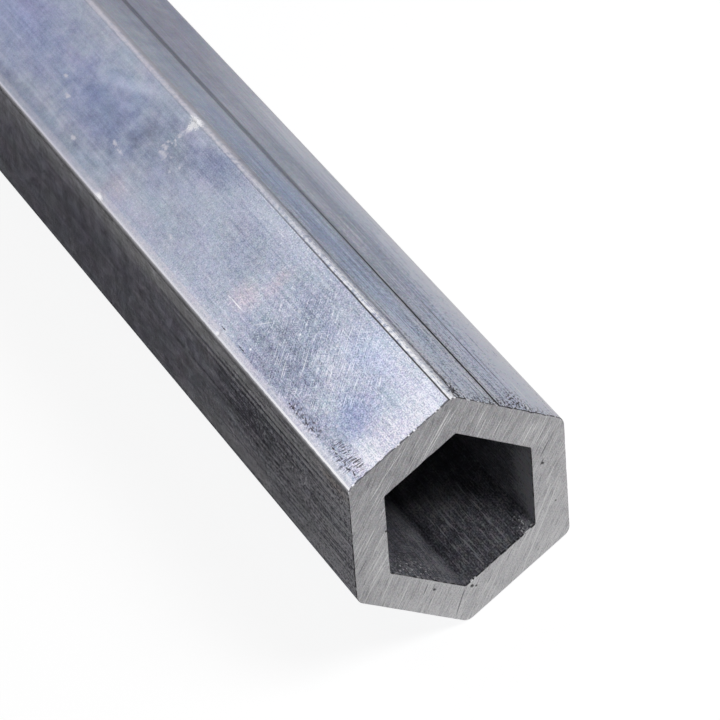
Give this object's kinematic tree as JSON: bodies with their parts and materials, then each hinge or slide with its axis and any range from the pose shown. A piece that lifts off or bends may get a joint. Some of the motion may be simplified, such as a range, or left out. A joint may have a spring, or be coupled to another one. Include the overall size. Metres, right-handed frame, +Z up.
{
  "type": "hex tube",
  "caption": "Straight length of aluminium hexagonal tube with a hexagonal bore, rounded outer corners and plain sawn ends.",
  "frame": {"origin": "middle of the flat that the tube rests on, halfway along its length", "axes": "+X along the tube's axis towards one sawn end, +Y across two opposite corners, +Z up, square to the top flat"},
  "size_m": [0.3, 0.0284, 0.025],
  "materials": {
    "mill_aluminium": "mill finish, as extruded, with sawn ends"
  },
  "bodies": {
    "root": {"hex_tube": "mill_aluminium"}
  },
  "joints": []
}
